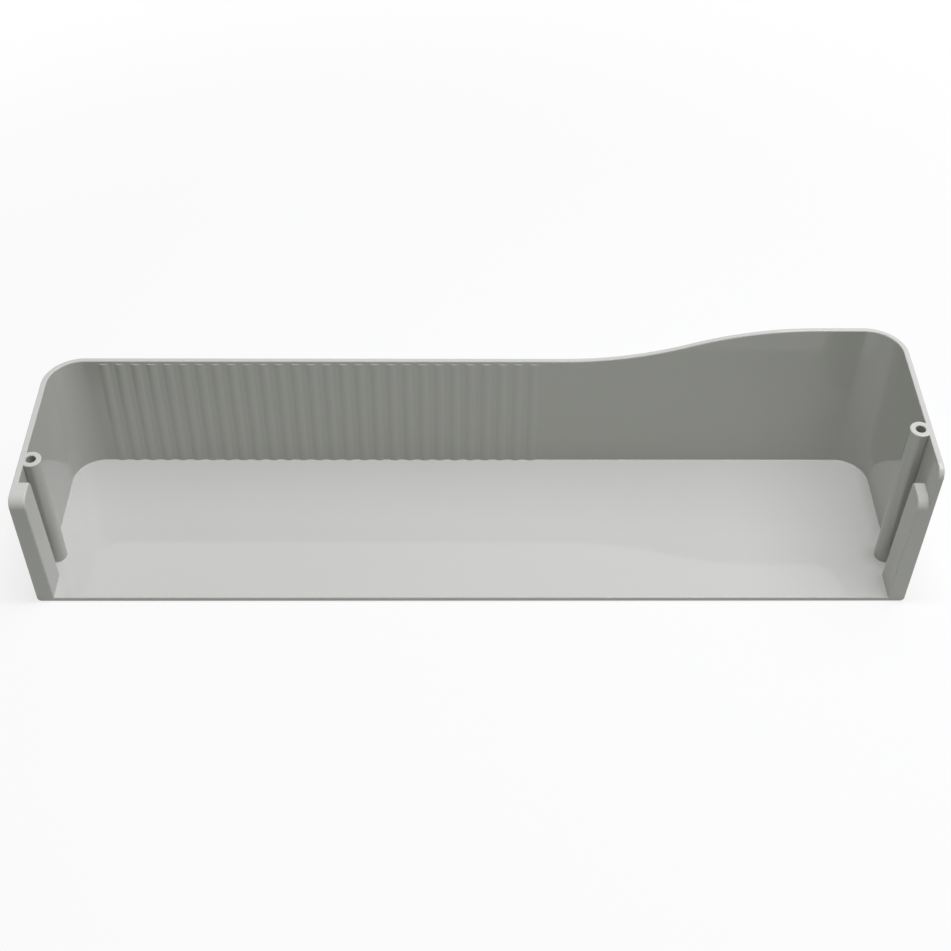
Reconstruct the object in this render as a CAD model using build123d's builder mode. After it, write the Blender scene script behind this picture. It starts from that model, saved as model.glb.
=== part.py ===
from build123d import *
from math import cos, radians, sin, tan
import os

# Fridge door shelf: one injection moulded tray whose open rear is closed by the door it hangs on.
# X runs along the shelf, -Y is the open rear, +Y the front wall, and Z is up from the underside.
# The outside is one drafted block, the inside is what a drafted core leaves of it, and two posts join it.

# Overall sizes, in millimetres
width = 400.0           # over the side walls, at the underside
depth = 94.6            # rear edge to the outside of the front wall, at the high rim
low_rim = 66.2          # left wall and left part of the front wall
high_rim = 85.0         # right wall and right part of the front wall
floor = 2.4             # thickness of the floor
side_wall = 3.2         # thickness of the side walls, at the floor
front_wall = 2.75       # thickness of the front wall, at the floor

# Draft, in degrees from the upright
side_draft_outside = 0.5
side_draft_inside = 1.0
front_draft_outside = 1.25
front_draft_inside = 1.5
near_angle = 10.0       # faces and edges this near to upright or level count as such

# Corners and edges
corner_radius = 18.0    # outside corners between the front wall and the side walls
foot_radius = 2.0       # outside edge of the underside
root_radius = 0.4       # inside edge between the floor and the walls
rear_radius = 5.0       # rear top corners of the side walls and the posts
edge_radius = 0.5       # rim and rear edge

# The rise of the rim, two equal arcs from the low rim to the high rim
rise_length = 117.0
rise_from_right = 38.6  # end of the rise, from the outside of the right wall

# Upright beads on the inside of the low part of the front wall
bead_width = 5.1        # between the feet of the flanks
bead_slope = 14.0       # flanks, in degrees from the wall
bead_crest_radius = 6.0
bead_foot_radius = 5.0
bead_sink = 0.03        # the hollow feet end this far inside the wall face
bead_pitch = 7.55
bead_from_left = 25.8   # first bead, from the outside of the left wall
bead_from_rise = 14.0   # least distance from the last bead to the rise
bead_below_rim = 1.7

# Screw bosses on the side walls, flush with the rim
boss_diameter = 9.5
boss_from_side = 4.6    # axis, from the outside of the wall
boss_from_rear = 26.45  # axis, from the rear edge
hole_diameter = 4.4
hole_depth = 30.0
hole_bevel = 0.3        # bevelled mouth that leads a screw in
bevel_angle = 90.0      # across the bevel

# Posts at the rear ends of the side walls
post_proud = 4.7        # from the inside of the wall, at the floor
post_depth = 14.7       # from the rear edge, at the floor
post_top_radius = 3.0   # top edge on the side of the boss
post_edge_radius = 0.8  # edges round the inner face


def lean(height, angle):
    """Sideways run of a face that leans by angle over a height."""
    return height * tan(radians(angle))


def is_upright(face):
    return abs(face.normal_at().Z) < sin(radians(near_angle))


def is_level(face):
    return face.normal_at().Z > cos(radians(near_angle))


def is_inward(face):
    """The face looks along X to the middle of the shelf."""
    return face.normal_at().X * face.center().X < -abs(face.center().X) * cos(radians(near_angle))


# Places that follow from those sizes
rear = -depth / 2
half_width = width / 2
block_front = depth / 2 - lean(high_rim, front_draft_outside)
core_half_width = half_width + lean(floor, side_draft_outside) - side_wall
core_front = block_front + lean(floor, front_draft_outside) - front_wall
rim_top = max(low_rim, high_rim)
core_top = rim_top + floor
core_height = core_top - floor
rise_end = half_width - rise_from_right
rise_start = rise_end - rise_length
bead_first = bead_from_left - half_width
bead_count = int((rise_start - bead_from_rise - bead_first) / bead_pitch) + 1
bead_middle = bead_first + (bead_count - 1) * bead_pitch / 2
bead_ridge = lean(bead_width / 2, bead_slope) - bead_sink
boss_x = half_width - boss_from_side
boss_y = rear + boss_from_rear
post_foot = floor / 2
post_reach = half_width - side_wall / 3

# Outline of one bead: a low ridge with a round crest and hollow feet, on a strip inside the wall
with BuildSketch() as bead:
    with BuildLine():
        Polyline(
            (-bead_pitch / 2, bead_sink),
            (-bead_width / 2, bead_sink),
            (0, -bead_ridge),
            (bead_width / 2, bead_sink),
            (bead_pitch / 2, bead_sink),
            (bead_pitch / 2, front_wall / 2),
            (-bead_pitch / 2, front_wall / 2),
            close=True,
        )
    make_face()
    strip_points = bead.vertices().group_by(Axis.Y)[1].sort_by(Axis.X)
    fillet(strip_points[1:-1], bead_foot_radius)
    fillet(bead.vertices().sort_by(Axis.Y)[0], bead_crest_radius)

# The core fills the inside of the shelf and reaches past its rear edge and its rim
with BuildPart() as core:
    with BuildSketch(Plane.XZ):
        with BuildLine():
            core_half_top = core_half_width + lean(core_height, side_draft_inside)
            Polyline(
                (-core_half_width, floor),
                (core_half_width, floor),
                (core_half_top, core_top),
                (-core_half_top, core_top),
                close=True,
            )
        make_face()
    extrude(amount=depth, both=True)
    with BuildSketch(Plane.YZ):
        with BuildLine():
            Polyline(
                (-depth, floor),
                (core_front, floor),
                (core_front + lean(core_height, front_draft_inside), core_top),
                (-depth, core_top),
                close=True,
            )
        make_face()
    extrude(amount=width, both=True, mode=Mode.INTERSECT)
    front_edges = core.faces().sort_by(Axis.Y)[-1].edges()
    fillet(front_edges.filter_by(Axis.Z, tolerance=near_angle), corner_radius - front_wall)
    floor_edges = core.faces().sort_by(Axis.Z)[0].edges()
    fillet(floor_edges.sort_by(Axis.Y)[1:], root_radius)

    # Bosses, upright and up to the rim
    with BuildSketch(Plane.XY.offset(floor)):
        with Locations((boss_x, boss_y), (-boss_x, boss_y)):
            Circle(boss_diameter / 2)
    extrude(amount=core_height, mode=Mode.SUBTRACT)

    # Beads, standing on the front wall and leaning with it
    wall_foot = Plane((0, core_front, floor)).rotated((-front_draft_inside, 0, 0))
    with BuildSketch(wall_foot):
        with Locations((bead_middle, 0)):
            with GridLocations(bead_pitch, bead_pitch, bead_count, 1):
                add(bead.sketch)
    extrude(amount=low_rim - bead_below_rim - floor, mode=Mode.SUBTRACT)

# The posts, with the draft of the walls: they start inside the floor and reach into the walls
with BuildPart() as posts:
    with BuildSketch(Plane.XY.offset(post_foot)):
        with Locations((half_width, rear), (-half_width, rear)):
            Rectangle(2 * (half_width - core_half_width + post_proud), 2 * post_depth)
    extrude(amount=low_rim - post_foot, taper=side_draft_inside)
    with Locations((0, rear + post_depth, 0)):
        Box(2 * post_reach, 2 * post_depth, 2 * low_rim, mode=Mode.INTERSECT)
    top_edges = posts.edges().filter_by(Axis.X).group_by(Axis.Z)[-1]
    fillet(top_edges.group_by(Axis.Y)[0], rear_radius)
    top_edges = posts.edges().filter_by(Axis.X).group_by(Axis.Z)[-1]
    fillet(top_edges.group_by(Axis.Y)[-1], post_top_radius)
    inner_edges = posts.faces().filter_by(is_inward).edges()
    fillet(inner_edges - posts.faces().sort_by(Axis.Z)[:2].edges(), post_edge_radius)

# The shelf: the drafted block less its core
with BuildPart() as door_shelf:
    with BuildSketch(Plane.XZ):
        with BuildLine():
            rise_middle = ((rise_start + rise_end) / 2, (low_rim + high_rim) / 2)
            lower_arc = TangentArc((rise_start, low_rim), rise_middle, tangent=(1, 0))
            TangentArc(rise_middle, (rise_end, high_rim), tangent=lower_arc % 1)
            Polyline(
                (rise_end, high_rim),
                (half_width + lean(high_rim, side_draft_outside), high_rim),
                (half_width, 0),
                (-half_width, 0),
                (-half_width - lean(low_rim, side_draft_outside), low_rim),
                (rise_start, low_rim),
            )
        make_face()
    extrude(amount=depth, both=True)
    with BuildSketch(Plane.YZ):
        with BuildLine():
            Polyline(
                (rear, 0),
                (block_front, 0),
                (block_front + lean(rim_top, front_draft_outside), rim_top),
                (rear, rim_top),
                close=True,
            )
        make_face()
    extrude(amount=width, both=True, mode=Mode.INTERSECT)
    front_edges = door_shelf.faces().sort_by(Axis.Y)[-1].edges()
    fillet(front_edges.filter_by(Axis.Z, tolerance=near_angle), corner_radius)
    foot_edges = door_shelf.faces().sort_by(Axis.Z)[0].edges()
    fillet(foot_edges.sort_by(Axis.Y)[1:], foot_radius)
    add(core.part, mode=Mode.SUBTRACT)

    # Rear top corners of both walls
    rear_face = door_shelf.faces().sort_by(Axis.Y)[0]
    cross_edges = rear_face.edges().filter_by(Axis.X)
    fillet(cross_edges.filter_by_position(Axis.Z, 2 * floor, core_top), rear_radius)

    # Blind holes down the bosses
    with Locations((boss_x, boss_y, high_rim), (-boss_x, boss_y, low_rim)):
        CounterSinkHole(
            hole_diameter / 2,
            hole_diameter / 2 + hole_bevel,
            depth=hole_depth,
            counter_sink_angle=bevel_angle,
        )

    # Small radius on the rim and round the rear edge
    upright_faces = door_shelf.faces().filter_by(is_upright)
    level_faces = door_shelf.faces().filter_by(is_level)
    rim_faces = level_faces.filter_by_position(Axis.Z, low_rim - bead_below_rim / 2, core_top)
    rim_edges = rim_faces.edges() & upright_faces.edges()
    rear_face = door_shelf.faces().sort_by(Axis.Y)[0]
    round_faces = door_shelf.faces().filter_by(GeomType.CYLINDER)
    rear_corners = round_faces.filter_by_position(Axis.Y, rear, rear + rear_radius)
    rear_edges = rear_face.edges() - rear_corners.edges()
    fillet(rim_edges + rear_edges, edge_radius)

    add(posts.part)

door_shelf.part.label = "door_shelf"
os.makedirs("parts", exist_ok=True)
export_step(door_shelf.part, "parts/door_shelf.step")
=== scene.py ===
import bpy
from math import pi, radians
from mathutils import Matrix, Vector

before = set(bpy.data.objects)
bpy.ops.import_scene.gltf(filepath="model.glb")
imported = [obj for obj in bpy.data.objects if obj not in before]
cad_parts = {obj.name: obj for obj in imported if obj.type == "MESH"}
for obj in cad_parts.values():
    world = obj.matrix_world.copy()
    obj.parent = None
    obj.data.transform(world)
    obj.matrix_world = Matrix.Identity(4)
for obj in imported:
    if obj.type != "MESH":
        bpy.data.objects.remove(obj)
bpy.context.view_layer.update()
scene = bpy.context.scene
scene.view_settings.view_transform = "Standard"

# Door shelf
# The tray is one injection moulding in light grey polystyrene: floor, walls, beads, bosses and posts.
# The colour is in the plastic, and the polished steel tool leaves a gloss on it with a trace of ripple.
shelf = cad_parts["door_shelf"]
shelf_grey = (0.455, 0.456, 0.439, 1.0)
shelf_grey_pale = (0.469, 0.470, 0.453, 1.0)
cloud_size = 0.09           # metres across one cloud of slightly paler plastic
cloud_detail = 2.0
gloss_roughness = 0.05
dull_roughness = 0.08
patch_size = 0.012          # metres across one patch of slightly duller surface
patch_detail = 4.0
ripple_size = 0.006         # metres from one ripple of the moulded face to the next
ripple_detail = 2.0
ripple_height = 0.000002    # metres
plastic_ior = 1.52


def add_node(material, kind, **settings):
    """A shader node, with its properties and the values of its unlinked inputs set by name."""
    node = material.node_tree.nodes.new(kind)
    for name, value in settings.items():
        if hasattr(node, name):
            setattr(node, name, value)
        else:
            node.inputs[name.replace("_", " ")].default_value = value
    return node


def add_noise(material, size, detail):
    """Noise in the object's own space, with features about that many metres across."""
    places = add_node(material, "ShaderNodeTexCoord")
    noise = add_node(material, "ShaderNodeTexNoise", Scale=1 / size, Detail=detail)
    material.node_tree.links.new(places.outputs["Object"], noise.inputs["Vector"])
    return noise.outputs["Fac"]


def colour_sockets(sockets):
    return [socket for socket in sockets if socket.type == "RGBA"]


moulded = bpy.data.materials.new("gloss_grey_polystyrene")
moulded.use_nodes = True
join = moulded.node_tree.links.new
plastic = moulded.node_tree.nodes["Principled BSDF"]
plastic.inputs["IOR"].default_value = plastic_ior

clouds = add_node(moulded, "ShaderNodeMix", data_type="RGBA")
join(add_noise(moulded, cloud_size, cloud_detail), clouds.inputs["Factor"])
base, cloud = colour_sockets(clouds.inputs)
base.default_value = shelf_grey
cloud.default_value = shelf_grey_pale
join(colour_sockets(clouds.outputs)[0], plastic.inputs["Base Color"])

patches = add_node(moulded, "ShaderNodeMapRange", To_Min=gloss_roughness, To_Max=dull_roughness)
join(add_noise(moulded, patch_size, patch_detail), patches.inputs["Value"])
join(patches.outputs["Result"], plastic.inputs["Roughness"])

ripple = add_node(moulded, "ShaderNodeBump", Distance=ripple_height)
join(add_noise(moulded, ripple_size, ripple_detail), ripple.inputs["Height"])
join(ripple.outputs["Normal"], plastic.inputs["Normal"])

shelf.data.materials.clear()
shelf.data.materials.append(moulded)

# Floor
# The shelf stands on a sheet of pale paper that runs on past the picture on every side.
# To the eye, and in the gloss of the plastic, the sheet is white and keeps a soft trace of the shadow.
# Away from the shelf it pales to the white of the room, so that its far edges do not show.
floor_reach = 12.0          # metres across
paper_gap = 0.0002          # metres below the underside, so that the two faces do not coincide
paper_grey = (0.57, 0.57, 0.57, 1.0)
paper_white = (1.0, 1.0, 1.0, 1.0)
paper_glow = 0.92           # with the paper's own light added, the open sheet stays just under white
shadow_share = 0.15         # how much of the paper's own light and shade the eye sees
fade_start = 0.28           # metres from the middle of the shelf, where the paper begins to pale
fade_end = 0.6              # metres from there, where it is as white as the room


def add_mix(material, first, second):
    """Blends two shaders, and is all the first where its factor is 0."""
    mix = add_node(material, "ShaderNodeMixShader")
    material.node_tree.links.new(first.outputs[0], mix.inputs[1])
    material.node_tree.links.new(second.outputs[0], mix.inputs[2])
    return mix


def add_seen(material):
    """A mask that is 1 for what the camera sees, straight, mirrored or through something."""
    ray = add_node(material, "ShaderNodeLightPath")
    mirrored = add_node(material, "ShaderNodeMath", operation="MAXIMUM")
    seen = add_node(material, "ShaderNodeMath", operation="MAXIMUM")
    links = material.node_tree.links
    links.new(ray.outputs["Is Glossy Ray"], mirrored.inputs[0])
    links.new(ray.outputs["Is Transmission Ray"], mirrored.inputs[1])
    links.new(ray.outputs["Is Camera Ray"], seen.inputs[0])
    links.new(mirrored.outputs[0], seen.inputs[1])
    return seen.outputs[0]


bpy.ops.mesh.primitive_plane_add(size=floor_reach, location=(0, 0, -paper_gap))
floor = bpy.context.object
floor.name = "paper_floor"
paper = bpy.data.materials.new("pale_paper")
paper.use_nodes = True
paper.node_tree.nodes.clear()
join = paper.node_tree.links.new
sheet = add_node(paper, "ShaderNodeBsdfDiffuse", Color=paper_grey)
white_sheet = add_node(paper, "ShaderNodeBsdfDiffuse", Color=paper_white)
glow = add_node(paper, "ShaderNodeEmission", Color=paper_white, Strength=paper_glow)
pale = add_mix(paper, glow, white_sheet)
pale.inputs["Fac"].default_value = shadow_share
places = add_node(paper, "ShaderNodeTexCoord")
distance = add_node(paper, "ShaderNodeVectorMath", operation="LENGTH")
join(places.outputs["Object"], distance.inputs[0])
fade = add_node(
    paper, "ShaderNodeMapRange", interpolation_type="SMOOTHSTEP", From_Min=fade_start, From_Max=fade_end
)
join(distance.outputs["Value"], fade.inputs["Value"])
open_sheet = add_node(paper, "ShaderNodeEmission", Color=paper_white, Strength=1.0)
ground = add_mix(paper, pale, open_sheet)
join(fade.outputs["Result"], ground.inputs["Fac"])
shown = add_mix(paper, sheet, ground)
join(add_seen(paper), shown.inputs["Fac"])
surface = add_node(paper, "ShaderNodeOutputMaterial")
join(shown.outputs[0], surface.inputs["Surface"])
floor.data.materials.append(paper)

# Light
# A strip softbox hangs over the shelf and a wide one over its right, and a room fills the shade.
# The room looks white to the eye and in the gloss, and gives much less light than the softboxes.
# The strip has no image in the gloss, where its glints on the small radii would be mere specks.
lamp_height = 1.5           # metres above the floor
lamp_colour = (0.96, 0.952, 1.0)
over_place = (0.075, -0.02)
over_size = (0.5, 0.1)
over_power = 17.0           # watts
side_place = (0.8, 0.2)
side_size = (1.2, 1.6)
side_power = 18.05          # watts
room_white = (1.0, 1.0, 1.0, 1.0)
room_fill = (0.88, 1.0, 0.68, 1.0)
room_light = 0.16           # strength of the fill, where the white that the eye sees is 1


def hang_softbox(name, place, size, power, in_gloss):
    """A flat lamp that faces straight down."""
    lamp = bpy.data.lights.new(name, "AREA")
    lamp.shape = "RECTANGLE"
    lamp.size, lamp.size_y = size
    lamp.energy = power
    lamp.color = lamp_colour
    softbox = bpy.data.objects.new(name, lamp)
    softbox.location = (*place, lamp_height)
    softbox.visible_glossy = in_gloss
    scene.collection.objects.link(softbox)


hang_softbox("softbox_over", over_place, over_size, over_power, in_gloss=False)
hang_softbox("softbox_side", side_place, side_size, side_power, in_gloss=True)

room = bpy.data.worlds.new("white_room")
room.use_nodes = True
join = room.node_tree.links.new
fill = add_node(room, "ShaderNodeBackground", Color=room_fill, Strength=room_light)
walls = add_node(room, "ShaderNodeBackground", Color=room_white, Strength=1.0)
shown = add_mix(room, fill, walls)
join(add_seen(room), shown.inputs["Fac"])
join(shown.outputs[0], room.node_tree.nodes["World Output"].inputs["Surface"])
scene.world = room

# Camera
# It looks down into the open rear of the shelf, square to the front wall.
# Its lens and place are those that lay the shelf's edges over the photograph's.
camera_place = Vector((-0.00538, -0.50578, 0.54881))
camera_pitch = radians(45.469)      # down from level
camera_yaw = radians(0.802)         # to the right
camera_roll = radians(0.596)
camera_lens = 58.42                 # millimetres, on a sensor 36 mm wide
camera_data = bpy.data.cameras.new("camera")
camera_data.lens = camera_lens
camera = bpy.data.objects.new("camera", camera_data)
camera.matrix_world = (
    Matrix.Translation(camera_place)
    @ Matrix.Rotation(-camera_yaw, 4, "Z")
    @ Matrix.Rotation(pi / 2 - camera_pitch, 4, "X")
    @ Matrix.Rotation(camera_roll, 4, "Z")
)
scene.collection.objects.link(camera)
scene.camera = camera
